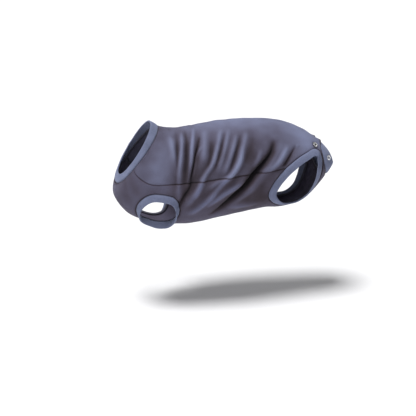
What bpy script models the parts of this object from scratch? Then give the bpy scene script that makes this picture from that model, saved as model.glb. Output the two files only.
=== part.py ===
"""Pet recovery suit, held in the form that it has when worn.

The suit is a tube of stretch jersey: a back panel and a belly panel that meet at a side seam on
each flank, with rib bindings at the collar, the armholes, the leg holes and the tail hole, and
two ring snaps on each side of the tail.

Every piece is drawn flat with two shares and is then wrapped on the worn form:
  along  from the collar (0) to the edge of the tail hole (1)
  turn   from the back line (0) round the side to the belly line (1 on the right, -1 on the left)

Metres. X runs from the collar to the tail, Y to the right side and Z up. The origin is on the
inner face of the back panel over the withers, where the suit sits.
"""

from collections import namedtuple

import bmesh
import bpy
import numpy as np
from mathutils import Matrix, Vector

for old in list(bpy.data.objects):
    bpy.data.objects.remove(old, do_unlink=True)

# Worn form
BACK_LENGTH = 0.300
CHEST_DEPTH = 0.171
CHEST_WIDTH = 0.128
COLLAR_DEPTH = 0.104
COLLAR_WIDTH = 0.082
TAIL_HOLE_DEPTH = 0.033
TAIL_HOLE_WIDTH = 0.050
ROUNDNESS = 2.15

# Cloth
JERSEY = 0.0013
RIB = 0.0022
SEAM_GAP = 0.0004
FOLD_HEIGHT = 0.0040
FOLD_WIDTH = 0.0175

# Bindings and the holes that they edge
COLLAR_BAND = 0.015
TAIL_BAND = 0.021
CUFF_BAND = 0.013
LEG_BAND = 0.013
ARMHOLE_LENGTH = 0.074
ARMHOLE_HEIGHT = 0.070
LEG_HOLE_LENGTH = 0.122
LEG_HOLE_HEIGHT = 0.117
TAIL_STRAP = 0.005
CROTCH_STRIP = 0.050
STERNUM_STRIP = 0.042
SHOULDER_STRIP = 0.050

# Snaps
SNAP_DIAMETER = 0.0092
SNAP_WIRE = 0.0024
SNAP_HEIGHT = 0.0014
SOCKET_DIAMETER = 0.0080
SOCKET_HEIGHT = 0.0018
SNAP_MARGIN = 0.0160
UPPER_SNAP_TURN = 0.262
LOWER_SNAP_TURN = 0.460
SNAP_REACH = 0.44  # of the tail binding's width, from its free edge to the lower snap

# Mesh fineness
COLUMNS = 54
BACK_ROWS = 16
BELLY_ROWS = 18
ARC_STEPS = 64
FOLD_STEPS = 24
FLAT_SLAB = 0.1
MERGE_SHARE = 0.0005
LEG_POINTS = 42
ARM_POINTS = 28
COLLAR_POINTS = 36
TAIL_POINTS = 24
RING_SIDES = 16
WIRE_SIDES = 6
SOCKET_SIDES = 16

LEFT = -1.0
RIGHT = 1.0

# Sections of the worn form. centre_x is a share of BACK_LENGTH, centre_z of CHEST_DEPTH and
# lean is the tilt of the section in degrees, its top towards the tail.
Section = namedtuple("Section", "along centre_x centre_z lean depth width")
SECTIONS = (
    Section(0.000, -0.253, -0.175, 32.5, COLLAR_DEPTH, COLLAR_WIDTH),
    Section(0.055, -0.248, -0.287, 35.0, 0.785 * CHEST_DEPTH, 0.734 * CHEST_WIDTH),
    Section(0.125, -0.190, -0.401, 28.4, 0.923 * CHEST_DEPTH, 0.844 * CHEST_WIDTH),
    Section(0.215, -0.087, -0.468, 18.0, 0.984 * CHEST_DEPTH, 0.906 * CHEST_WIDTH),
    Section(0.341, 0.067, -0.480, 6.7, CHEST_DEPTH, 0.969 * CHEST_WIDTH),
    Section(0.465, 0.217, -0.447, 3.4, 0.990 * CHEST_DEPTH, CHEST_WIDTH),
    Section(0.597, 0.378, -0.418, 1.0, 0.953 * CHEST_DEPTH, 0.938 * CHEST_WIDTH),
    Section(0.707, 0.512, -0.409, 1.1, 0.912 * CHEST_DEPTH, 0.859 * CHEST_WIDTH),
    Section(0.800, 0.623, -0.427, 0.8, 0.877 * CHEST_DEPTH, 0.812 * CHEST_WIDTH),
    Section(0.888, 0.732, -0.424, -4.1, 0.744 * CHEST_DEPTH, 0.766 * CHEST_WIDTH),
    Section(0.956, 0.817, -0.383, -9.3, 0.503 * CHEST_DEPTH, 0.656 * CHEST_WIDTH),
    Section(1.000, 0.900, -0.362, -20.7, TAIL_HOLE_DEPTH, TAIL_HOLE_WIDTH),
)
WITHERS = 3

# Side seam between the back panel and the belly panel
Seam = namedtuple("Seam", "along turn")
SIDE_SEAM = (
    Seam(0.00, 0.60),
    Seam(0.12, 0.56),
    Seam(0.22, 0.51),
    Seam(0.31, 0.495),
    Seam(0.55, 0.505),
    Seam(0.74, 0.495),
    Seam(0.85, 0.43),
    Seam(0.95, 0.335),
    Seam(1.00, 0.335),
)

# Edges of the holes, in shares of the hole's length from its front and of its height from its top
Edge = namedtuple("Edge", "back down")
LEG_EDGE = (
    Edge(0.28, 0.32),
    Edge(0.42, 0.22),
    Edge(0.57, 0.13),
    Edge(0.73, 0.06),
    Edge(0.90, 0.01),
    Edge(0.985, 0.06),
    Edge(1.00, 0.22),
    Edge(0.99, 0.42),
    Edge(0.93, 0.68),
    Edge(0.79, 0.89),
    Edge(0.55, 1.00),
    Edge(0.27, 0.97),
    Edge(0.06, 0.84),
    Edge(0.00, 0.68),
    Edge(0.10, 0.50),
)
ARM_EDGE = (
    Edge(0.20, 0.06),
    Edge(0.48, 0.00),
    Edge(0.76, 0.04),
    Edge(0.94, 0.24),
    Edge(1.00, 0.54),
    Edge(0.86, 0.87),
    Edge(0.52, 1.00),
    Edge(0.16, 0.87),
    Edge(0.00, 0.54),
    Edge(0.04, 0.24),
)

# Folds of the worn cloth, the same on both sides: each runs from its start through its middle to
# its end, and height (below zero for a crease) and width are shares of the fold sizes
Fold = namedtuple("Fold", "start middle end height width")
FOLDS = (
    Fold((0.140, 0.13), (0.205, 0.31), (0.240, 0.50), 0.50, 1.00),
    Fold((0.180, 0.07), (0.218, 0.29), (0.246, 0.42), -0.45, 0.90),
    Fold((0.224, 0.08), (0.243, 0.36), (0.268, 0.60), 0.55, 0.95),
    Fold((0.255, 0.08), (0.275, 0.29), (0.290, 0.52), -0.55, 1.00),
    Fold((0.318, 0.07), (0.299, 0.32), (0.300, 0.57), 0.60, 1.00),
    Fold((0.346, 0.15), (0.314, 0.42), (0.280, 0.71), -0.95, 1.05),
    Fold((0.380, 0.10), (0.365, 0.30), (0.345, 0.46), 0.50, 1.25),
    Fold((0.400, 0.14), (0.402, 0.32), (0.386, 0.45), -0.30, 0.90),
    Fold((0.462, 0.13), (0.408, 0.39), (0.332, 0.62), 0.60, 1.05),
    Fold((0.498, 0.16), (0.468, 0.30), (0.440, 0.46), 0.40, 0.95),
    Fold((0.535, 0.20), (0.503, 0.33), (0.475, 0.47), 0.40, 0.95),
    Fold((0.588, 0.20), (0.535, 0.42), (0.400, 0.66), 0.65, 1.10),
    Fold((0.345, 0.74), (0.390, 0.66), (0.440, 0.60), 0.45, 1.10),
    Fold((0.410, 0.70), (0.475, 0.63), (0.545, 0.57), 0.45, 1.10),
    Fold((0.630, 0.34), (0.575, 0.50), (0.480, 0.65), 0.55, 1.20),
    Fold((0.718, 0.25), (0.614, 0.51), (0.440, 0.78), -1.10, 1.15),
    Fold((0.690, 0.50), (0.600, 0.64), (0.500, 0.75), 0.55, 1.30),
    Fold((0.785, 0.31), (0.742, 0.42), (0.680, 0.51), 0.55, 1.10),
    Fold((0.832, 0.28), (0.800, 0.38), (0.765, 0.46), -0.50, 0.80),
    Fold((0.905, 0.03), (0.936, 0.11), (0.948, 0.19), -0.60, 0.90),
)


def smooth_rows(table, place):
    """Rows of a table, whose first column is the place, read smoothly at any place."""
    rows = np.asarray(table, float)
    knots = rows[:, 0]
    values = rows[:, 1:]
    slopes = np.gradient(values, knots, axis=0)
    row = np.clip(np.searchsorted(knots, place, side="right") - 1, 0, len(knots) - 2)
    step = (knots[row + 1] - knots[row])[:, None]
    u = (place[:, None] - knots[row][:, None]) / step
    rise = u * u * (3.0 - 2.0 * u)
    ease_out = u * (1.0 - u) ** 2
    ease_in = u * u * (u - 1.0)
    level = values[row] + (values[row + 1] - values[row]) * rise
    return level + step * (slopes[row] * ease_out + slopes[row + 1] * ease_in)


def form_rows():
    """Top, bottom and half width of each section, with the withers' top at the origin."""
    rows = []
    for part in SECTIONS:
        lean = np.radians(part.lean)
        reach = 0.5 * part.depth * np.array((np.sin(lean), np.cos(lean)))
        centre = np.array((part.centre_x * BACK_LENGTH, part.centre_z * CHEST_DEPTH))
        rows.append((part.along, *(centre + reach), *(centre - reach), 0.5 * part.width))
    rows = np.array(rows)
    rows[:, 3:5] -= rows[WITHERS, 1:3]
    rows[:, 1:3] -= rows[WITHERS, 1:3].copy()
    return rows


FORM = form_rows()


def rounded(value):
    """Power that turns a circle's sine or cosine into the slightly squarer worn section."""
    return np.sign(value) * np.abs(value) ** (2.0 / ROUNDNESS)


def body(along, turn):
    """Points of the worn form, turn being measured along the girth."""
    along, turn = np.broadcast_arrays(np.atleast_1d(along), np.atleast_1d(turn))
    turn = (turn + 1.0) % 2.0 - 1.0
    rows = smooth_rows(FORM, along)
    top = rows[:, 0:2]
    bottom = rows[:, 2:4]
    half_width = rows[:, 4]
    half_depth = 0.5 * np.linalg.norm(top - bottom, axis=1)
    angles = np.linspace(0.0, np.pi, ARC_STEPS + 1)
    across = half_width[:, None] * rounded(np.sin(angles))
    upward = half_depth[:, None] * rounded(np.cos(angles))
    girth = np.cumsum(np.hypot(np.diff(across), np.diff(upward)), axis=1)
    share = np.hstack((np.zeros((len(along), 1)), girth / girth[:, -1:]))
    step = np.clip((share < np.abs(turn)[:, None]).sum(axis=1), 1, ARC_STEPS)
    line = np.arange(len(along))
    before = share[line, step - 1]
    part = (np.abs(turn) - before) / (share[line, step] - before)
    angle = (step - 1 + part) * np.pi / ARC_STEPS
    lift = 0.5 * rounded(np.cos(angle))[:, None]
    level = 0.5 * (top + bottom) + lift * (top - bottom)
    side = half_width * rounded(np.sin(angle)) * np.sign(turn)
    return np.stack((level[:, 0], side, level[:, 1]), axis=1)


def slopes(along, turn):
    """Change of the body's point for one whole share of along, and of turn."""
    step = 0.002
    lengthwise = (body(along + step, turn) - body(along - step, turn)) / (2.0 * step)
    girthwise = (body(along, turn + step) - body(along, turn - step)) / (2.0 * step)
    return lengthwise, girthwise


def lengths(along, turn):
    """Metres of cloth in one whole share of along, and of turn."""
    lengthwise, girthwise = slopes(np.atleast_1d(along), np.atleast_1d(turn))
    return np.linalg.norm(lengthwise, axis=1), np.linalg.norm(girthwise, axis=1)


def outward(along, turn):
    """Unit normals of the worn form."""
    lengthwise, girthwise = slopes(along, turn)
    normal = np.cross(lengthwise, girthwise)
    return normal / np.linalg.norm(normal, axis=1)[:, None]


FLAT_LENGTH, FLAT_HALF_GIRTH = (float(size[0]) for size in lengths(0.5, 0.5))


def fold_height(along, turn):
    """Height that the folds add to the cloth."""
    height = np.zeros(len(along))
    spot = np.stack((along * FLAT_LENGTH, np.abs(turn) * FLAT_HALF_GIRTH), axis=1)
    scale = np.array((FLAT_LENGTH, FLAT_HALF_GIRTH))
    for fold in FOLDS:
        start, middle, end = (np.array(place) * scale for place in (fold.start, fold.middle, fold.end))
        steer = 2.0 * middle - 0.5 * (start + end)
        nearest = np.full(len(along), np.inf)
        reached = np.zeros(len(along))
        for run in np.linspace(0.0, 1.0, FOLD_STEPS + 1):
            place = (1 - run) ** 2 * start + 2 * run * (1 - run) * steer + run ** 2 * end
            gap = np.linalg.norm(spot - place, axis=1)
            closer = gap < nearest
            nearest = np.where(closer, gap, nearest)
            reached = np.where(closer, run, reached)
        half_width = 0.5 * fold.width * FOLD_WIDTH
        across = 0.5 + 0.5 * np.cos(np.pi * np.clip(nearest / half_width, 0.0, 1.0))
        fade = np.sin(np.pi * (0.08 + 0.84 * reached)) ** 0.7
        height += fold.height * FOLD_HEIGHT * across * fade
    return height


def wrap(along, turn, height=0.0):
    """Points on the worn cloth, height metres out from its inner face."""
    along, turn = np.broadcast_arrays(np.atleast_1d(along), np.atleast_1d(turn))
    out = outward(along, turn) * (fold_height(along, turn) + height)[:, None]
    return body(along, turn) + out


def seam_turn(along):
    """Turn of the side seam, from the back line."""
    return smooth_rows(SIDE_SEAM, along)[:, 0]


def belly_half(along):
    """Share of the half girth from the belly line to the side seam."""
    return 1.0 - seam_turn(along)


def closed_curve(points, count):
    """A smooth closed curve through the points, read at count places."""
    points = np.asarray(points, float)
    spots = np.linspace(0.0, len(points), count, endpoint=False)
    first = spots.astype(int)
    u = (spots - first)[:, None]
    a, b, c, d = (points[(first + shift) % len(points)] for shift in (-1, 0, 1, 2))
    bend = 2.0 * a - 5.0 * b + 4.0 * c - d
    twist = 3.0 * (b - c) + d - a
    return b + 0.5 * u * (c - a + u * (bend + u * twist))


def hole_edge(edge, count, front, top, long, high):
    """Edge of a hole on the right side, as shares along the suit and round the girth."""
    curve = closed_curve(edge, count)
    return np.stack((front + curve[:, 0] * long, top + curve[:, 1] * high), axis=1)


def collar_edge(turn):
    """Share along of the seam between the neck binding and the panels."""
    return COLLAR_BAND / lengths(np.full(len(turn), 0.03), turn)[0]


def tail_edge(turn):
    """Share along of the seam between the panels and the tail binding."""
    return 1.0 - TAIL_BAND / lengths(np.full(len(turn), 0.98), turn)[0]


# Places of the holes, as shares
TAIL_EDGE = float(tail_edge(np.array((0.6,)))[0])
COLLAR_EDGE = float(collar_edge(np.array((0.75,)))[0])

leg_along, leg_girth = (float(size[0]) for size in lengths(0.80, 0.60))
rear_along = float(lengths(0.95, 0.60)[0][0])
LEG_LONG = LEG_HOLE_LENGTH / (0.5 * (leg_along + rear_along))
LEG_HIGH = LEG_HOLE_HEIGHT / leg_girth
LEG_FRONT = TAIL_EDGE - TAIL_STRAP / rear_along - LEG_LONG
LEG_TOP = 1.0 - 0.5 * CROTCH_STRIP / leg_girth - LEG_HIGH
LEG_OUTLINE = hole_edge(LEG_EDGE, LEG_POINTS, LEG_FRONT, LEG_TOP, LEG_LONG, LEG_HIGH)

arm_along, arm_girth = (float(size[0]) for size in lengths(0.20, 0.75))
ARM_LONG = ARMHOLE_LENGTH / arm_along
ARM_HIGH = ARMHOLE_HEIGHT / arm_girth
ARM_FRONT = COLLAR_EDGE + SHOULDER_STRIP / arm_along
ARM_TOP = 1.0 - 0.5 * STERNUM_STRIP / arm_girth - ARM_HIGH
ARM_OUTLINE = hole_edge(ARM_EDGE, ARM_POINTS, ARM_FRONT, ARM_TOP, ARM_LONG, ARM_HIGH)


def material(name, colour, roughness, metallic=0.0):
    finish = bpy.data.materials.new(name)
    finish.use_nodes = True
    shader = finish.node_tree.nodes["Principled BSDF"]
    shader.inputs["Base Color"].default_value = (*colour, 1.0)
    shader.inputs["Roughness"].default_value = roughness
    shader.inputs["Metallic"].default_value = metallic
    return finish


def collection(name):
    group = bpy.data.collections.new(name)
    bpy.context.scene.collection.children.link(group)
    return group


SUIT = collection("recovery_suit")
CUTTERS = collection("cutters")


def add_object(name, mesh, group):
    item = bpy.data.objects.new(name, mesh)
    group.objects.link(item)
    return item


def finish_piece(name, mesh, colour, roughness, metallic=0.0):
    """A node of the suit, with its own material and its faces pointing out."""
    bm = bmesh.new()
    bm.from_mesh(mesh)
    bmesh.ops.recalc_face_normals(bm, faces=bm.faces)
    bm.to_mesh(mesh)
    bm.free()
    mesh.shade_smooth()
    mesh.set_sharp_from_angle(angle=np.radians(50.0))
    mesh.materials.clear()
    mesh.materials.append(material(name + "_finish", colour, roughness, metallic))
    return add_object(name, mesh, SUIT)


def place_vertices(mesh, points):
    mesh.vertices.foreach_set("co", np.asarray(points, np.float32).ravel())
    mesh.update()


def vertex_points(mesh):
    points = np.empty(3 * len(mesh.vertices))
    mesh.vertices.foreach_get("co", points)
    return points.reshape(-1, 3)


def flat_cutter(name, outline):
    """A prism through the flat pattern, in the shape of a hole."""
    bm = bmesh.new()
    rim = [bm.verts.new((along, across, -1.0)) for along, across in outline]
    base = bm.faces.new(rim)
    raised = bmesh.ops.extrude_face_region(bm, geom=[base])["geom"]
    tops = [item for item in raised if isinstance(item, bmesh.types.BMVert)]
    bmesh.ops.translate(bm, verts=tops, vec=Vector((0.0, 0.0, 2.0)))
    bmesh.ops.recalc_face_normals(bm, faces=bm.faces)
    mesh = bpy.data.meshes.new(name)
    bm.to_mesh(mesh)
    bm.free()
    cutter = add_object(name, mesh, CUTTERS)
    cutter.hide_render = True
    cutter.display_type = "WIRE"
    return cutter


def cut_pattern(name, mesh, cutters):
    """The flat pattern piece with its holes cut, as one layer of triangles."""
    pattern = add_object(name + "_pattern", mesh, CUTTERS)
    slab = pattern.modifiers.new("slab", "SOLIDIFY")
    slab.thickness = FLAT_SLAB
    slab.offset = 0.0
    for cutter in cutters:
        cut = pattern.modifiers.new(cutter.name, "BOOLEAN")
        cut.operation = "DIFFERENCE"
        cut.object = cutter
    layers = bpy.context.evaluated_depsgraph_get()
    flat = bpy.data.meshes.new_from_object(pattern.evaluated_get(layers))
    bpy.data.objects.remove(pattern)
    bm = bmesh.new()
    bm.from_mesh(flat)
    bm.normal_update()
    unwanted = [face for face in bm.faces if face.normal.z < 0.5]
    bmesh.ops.delete(bm, geom=unwanted, context="FACES")
    bmesh.ops.remove_doubles(bm, verts=bm.verts, dist=MERGE_SHARE)
    bmesh.ops.triangulate(bm, faces=bm.faces)
    for vert in bm.verts:
        vert.co.z = 0.0
    raised = bmesh.ops.extrude_face_region(bm, geom=bm.faces[:])["geom"]
    for item in raised:
        if isinstance(item, bmesh.types.BMVert):
            item.co.z = 1.0
    bm.to_mesh(flat)
    bm.free()
    return flat


def back_turn(across):
    """Turn of a flat place on the back panel, whose middle is the back line."""
    return across


def belly_turn(across):
    """Turn of a flat place on the belly panel, whose middle is the belly line."""
    return np.where(across < 0.0, -1.0 - across, 1.0 - across)


def panel_grid(name, rows, edge_share, turn_of):
    """Flat panel from seam to seam: x is the share along, y the share round from its middle."""
    bm = bmesh.new()
    bmesh.ops.create_grid(bm, x_segments=COLUMNS, y_segments=rows, size=0.5)
    mesh = bpy.data.meshes.new(name)
    bm.to_mesh(mesh)
    bm.free()
    points = vertex_points(mesh)
    run = points[:, 0] + 0.5
    across = 2.0 * points[:, 1]
    along = run
    for again in range(2):
        turn = turn_of(across * edge_share(along))
        first = collar_edge(turn)
        first += SEAM_GAP / lengths(first, turn)[0]
        last = tail_edge(turn)
        last -= SEAM_GAP / lengths(last, turn)[0]
        along = first + run * (last - first)
    half_gap = 0.5 * SEAM_GAP / lengths(along, seam_turn(along))[1]
    points[:, 0] = along
    points[:, 1] = across * (edge_share(along) - half_gap)
    place_vertices(mesh, points)
    return mesh


def mirrored(outline, across):
    """The hole's outline on both sides, with across as the flat sideways share."""
    right = np.stack((outline[:, 0], across), axis=1)
    left = right[::-1] * np.array((1.0, -1.0))
    return right, left


def make_back_panel():
    cutters = []
    for side, outline in zip(("right", "left"), mirrored(LEG_OUTLINE, LEG_OUTLINE[:, 1])):
        cutters.append(flat_cutter("back_leg_cutter_" + side, outline))
    grid = panel_grid("back_panel", BACK_ROWS, seam_turn, back_turn)
    mesh = cut_pattern("back_panel", grid, cutters)
    flat = vertex_points(mesh)
    place_vertices(mesh, wrap(flat[:, 0], flat[:, 1], flat[:, 2] * JERSEY))
    return finish_piece("back_panel", mesh, (0.085, 0.094, 0.150), 0.85)


def make_belly_panel():
    cutters = []
    for hole, outline in (("leg", LEG_OUTLINE), ("arm", ARM_OUTLINE)):
        for side, edge in zip(("right", "left"), mirrored(outline, 1.0 - outline[:, 1])):
            cutters.append(flat_cutter("belly_" + hole + "_cutter_" + side, edge))
    grid = panel_grid("belly_panel", BELLY_ROWS, belly_half, belly_turn)
    mesh = cut_pattern("belly_panel", grid, cutters)
    flat = vertex_points(mesh)
    place_vertices(mesh, wrap(flat[:, 0], belly_turn(flat[:, 1]), flat[:, 2] * JERSEY))
    return finish_piece("belly_panel", mesh, (0.080, 0.086, 0.135), 0.85)


def unit(vectors):
    return vectors / np.linalg.norm(vectors, axis=1)[:, None]


def around(points):
    """Direction along a closed loop at each of its points."""
    return unit(np.roll(points, -1, axis=0) - np.roll(points, 1, axis=0))


def make_binding(name, rows, normals):
    """A closed rib band through three rows of points, from the sewn edge to the free edge."""
    inside = 0.5 * (JERSEY - RIB)
    outside = inside + RIB
    corners = [row + normal * outside for row, normal in zip(rows, normals)]
    corners += [row + normal * inside for row, normal in zip(rows[::-1], normals[::-1])]
    bpy.ops.mesh.primitive_torus_add(major_segments=len(rows[0]), minor_segments=len(corners))
    ring = bpy.context.object
    mesh = ring.data
    bpy.data.objects.remove(ring)
    place_vertices(mesh, np.stack(corners, axis=1).reshape(-1, 3))
    return finish_piece(name, mesh, (0.150, 0.165, 0.245), 0.80)


def make_loop_binding(name, edge_at, free, count):
    """A binding that runs right round the suit, at the collar or at the tail hole."""
    turn = np.linspace(-1.0, 1.0, count, endpoint=False)
    edge = edge_at(turn)
    rows = []
    normals = []
    for share in (0.0, 0.5, 1.0):
        along = edge + share * (free - edge)
        rows.append(wrap(along, turn))
        normals.append(outward(along, turn))
    return make_binding(name, rows, normals)


def make_hole_binding(name, outline, side, width, hang):
    """A binding on the edge of an armhole or leg hole, turning towards the limb's direction."""
    along = outline[:, 0]
    turn = outline[:, 1] * side
    edge = wrap(along, turn)
    normal = outward(along, turn)
    inward = np.cross(normal, around(edge)) * side
    middle = edge.mean(axis=0) - edge
    middle -= normal * (middle * normal).sum(axis=1)[:, None]
    inward *= np.sign((inward * middle).sum(axis=1))[:, None]
    reach = unit(inward + unit(middle))
    fall = np.array((hang.x, hang.y * side, hang.z))
    rows = [edge + reach * SEAM_GAP]
    for share in (hang.first, hang.last):
        rows.append(rows[-1] + unit(reach * (1.0 - share) + fall * share) * 0.5 * width)
    normals = [normal]
    for row, before in zip(rows[1:], rows[:-1]):
        across = unit(np.cross(around(row), row - before))
        across *= np.sign((across * normals[-1]).sum(axis=1))[:, None]
        normals.append(across)
    return make_binding(name, rows, normals)


# How much each half of a binding turns towards the limb's direction, which x, y and z give
Hang = namedtuple("Hang", "first last x y z")
ARM_HANG = Hang(0.50, 0.80, 0.0, 0.20, -1.0)
LEG_HANG = Hang(0.08, 0.25, 0.15, 0.25, -1.0)


def seat(along, turn, radius, face):
    """Matrix of a round piece on the cloth, clear of the highest point of the cloth under it.

    face is the height of the cloth's face that the piece lies on, from the inner face.
    """
    centre = wrap(along, turn, face)[0]
    up = outward(np.atleast_1d(along), np.atleast_1d(turn))[0]
    if face < 0.5 * JERSEY:
        up = -up
    lengthwise, girthwise = (float(size[0]) for size in lengths(along, turn))
    ways = np.linspace(0.0, 2.0 * np.pi, 12, endpoint=False)
    rim_along = along + np.cos(ways) * radius / lengthwise
    rim_turn = turn + np.sin(ways) * radius / girthwise
    rim = wrap(rim_along, rim_turn, face)
    lift = max(0.0, float(((rim - centre) @ up).max())) + SEAM_GAP
    turned = Vector(up).to_track_quat("Z", "Y").to_matrix().to_4x4()
    return Matrix.Translation(Vector(centre + up * lift)) @ turned


def make_snap_ring(name, along, turn, face):
    wire = 0.5 * SNAP_WIRE
    bpy.ops.mesh.primitive_torus_add(major_segments=RING_SIDES, minor_segments=WIRE_SIDES,
                                     major_radius=0.5 * SNAP_DIAMETER - wire, minor_radius=wire)
    ring = bpy.context.object
    mesh = ring.data
    bpy.data.objects.remove(ring)
    tallest = max(abs(vert.co.z) for vert in mesh.vertices)
    squash = 0.5 * SNAP_HEIGHT / tallest
    mesh.transform(Matrix.Diagonal((1.0, 1.0, squash, 1.0)))
    mesh.transform(Matrix.Translation((0.0, 0.0, 0.5 * SNAP_HEIGHT)))
    mesh.transform(seat(along, turn, 0.5 * SNAP_DIAMETER, face))
    return finish_piece(name, mesh, (0.62, 0.62, 0.64), 0.25, 1.0)


def make_snap_socket(name, along, turn, face):
    bm = bmesh.new()
    radius = 0.5 * SOCKET_DIAMETER
    bmesh.ops.create_cone(bm, cap_ends=True, segments=SOCKET_SIDES, radius1=radius,
                          radius2=0.8 * radius, depth=SOCKET_HEIGHT)
    mesh = bpy.data.meshes.new(name)
    bm.to_mesh(mesh)
    bm.free()
    mesh.transform(Matrix.Translation((0.0, 0.0, 0.5 * SOCKET_HEIGHT)))
    mesh.transform(seat(along, turn, radius, face))
    return finish_piece(name, mesh, (0.50, 0.50, 0.52), 0.35, 1.0)


def snap_places():
    """Place of each snap, and the heights of the cloth's inner and outer face there."""
    edges = tail_edge(np.array((UPPER_SNAP_TURN, LOWER_SNAP_TURN)))
    inset = 0.5 * SNAP_DIAMETER + SNAP_MARGIN
    corner = edges[0] - inset / float(lengths(edges[0], UPPER_SNAP_TURN)[0][0])
    band = 1.0 - (1.0 - edges[1]) * SNAP_REACH
    return (("upper", corner, UPPER_SNAP_TURN, 0.0, JERSEY),
            ("lower", band, LOWER_SNAP_TURN, 0.5 * (JERSEY - RIB), 0.5 * (JERSEY + RIB)))


make_back_panel()
make_belly_panel()
make_loop_binding("neck_binding", collar_edge, 0.0, COLLAR_POINTS)
make_loop_binding("tail_binding", tail_edge, 1.0, TAIL_POINTS)
for side_name, side_sign in (("left", LEFT), ("right", RIGHT)):
    make_hole_binding("armhole_binding_" + side_name, ARM_OUTLINE, side_sign, CUFF_BAND, ARM_HANG)
    make_hole_binding("leg_binding_" + side_name, LEG_OUTLINE, side_sign, LEG_BAND, LEG_HANG)
    for level_name, snap_along, snap_turn, inner, outer in snap_places():
        where = level_name + "_" + side_name
        make_snap_ring("snap_ring_" + where, snap_along, snap_turn * side_sign, outer)
        make_snap_socket("snap_socket_" + where, snap_along, snap_turn * side_sign, inner)
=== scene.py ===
"""Looks of the pet recovery suit: jersey panels, rib bindings, ring snaps, floor, light and camera."""

from collections import namedtuple

import bmesh
import bpy
import numpy as np
from mathutils import Matrix, Vector, noise


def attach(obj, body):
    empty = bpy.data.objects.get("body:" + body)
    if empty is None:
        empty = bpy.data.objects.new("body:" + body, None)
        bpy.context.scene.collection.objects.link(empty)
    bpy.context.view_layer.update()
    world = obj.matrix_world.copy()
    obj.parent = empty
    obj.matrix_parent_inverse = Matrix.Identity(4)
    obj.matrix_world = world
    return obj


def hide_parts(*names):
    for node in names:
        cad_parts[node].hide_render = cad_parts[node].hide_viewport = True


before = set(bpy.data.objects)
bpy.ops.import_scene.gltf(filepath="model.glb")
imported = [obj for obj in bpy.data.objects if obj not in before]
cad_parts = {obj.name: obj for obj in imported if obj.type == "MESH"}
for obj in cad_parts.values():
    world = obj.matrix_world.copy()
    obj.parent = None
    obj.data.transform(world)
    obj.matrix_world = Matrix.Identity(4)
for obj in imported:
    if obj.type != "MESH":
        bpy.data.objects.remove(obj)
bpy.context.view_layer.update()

# Back panel
# The upper half of the suit's tube, one piece of stretch cotton jersey. It is cut flat with a
# bay at the front of each leg hole and sewn to the belly panel along the side seams; worn, it is
# pulled into drag lines that run down from the withers and up from the leg holes.

# The worn form's section at each place along the suit: where the section's middle lies behind
# and below the withers, how it leans in degrees, and how deep and wide it is
Section = namedtuple("Section", "along centre_x centre_z lean depth width")
WORN_FORM = (
    Section(0.000, -0.0759, -0.0299, 32.5, 0.1040, 0.0820),
    Section(0.055, -0.0744, -0.0491, 35.0, 0.1342, 0.0940),
    Section(0.125, -0.0570, -0.0686, 28.4, 0.1578, 0.1080),
    Section(0.215, -0.0261, -0.0800, 18.0, 0.1683, 0.1160),
    Section(0.341, 0.0201, -0.0821, 6.7, 0.1710, 0.1240),
    Section(0.465, 0.0651, -0.0764, 3.4, 0.1693, 0.1280),
    Section(0.597, 0.1134, -0.0715, 1.0, 0.1630, 0.1201),
    Section(0.707, 0.1536, -0.0699, 1.1, 0.1560, 0.1100),
    Section(0.800, 0.1869, -0.0730, 0.8, 0.1500, 0.1039),
    Section(0.888, 0.2196, -0.0725, -4.1, 0.1272, 0.0980),
    Section(0.956, 0.2451, -0.0655, -9.3, 0.0860, 0.0840),
    Section(1.000, 0.2700, -0.0619, -20.7, 0.0330, 0.0500),
)
WITHERS = 3
ROUNDNESS = 2.15
GIRTH_STEPS = 96

# Turn of the side seam from the back line, where 1 is the belly line
Seam = namedtuple("Seam", "along turn")
SIDE_SEAM = (
    Seam(0.00, 0.60), Seam(0.12, 0.56), Seam(0.22, 0.51), Seam(0.31, 0.495), Seam(0.55, 0.505),
    Seam(0.74, 0.495), Seam(0.85, 0.43), Seam(0.95, 0.335), Seam(1.00, 0.335),
)

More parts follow.
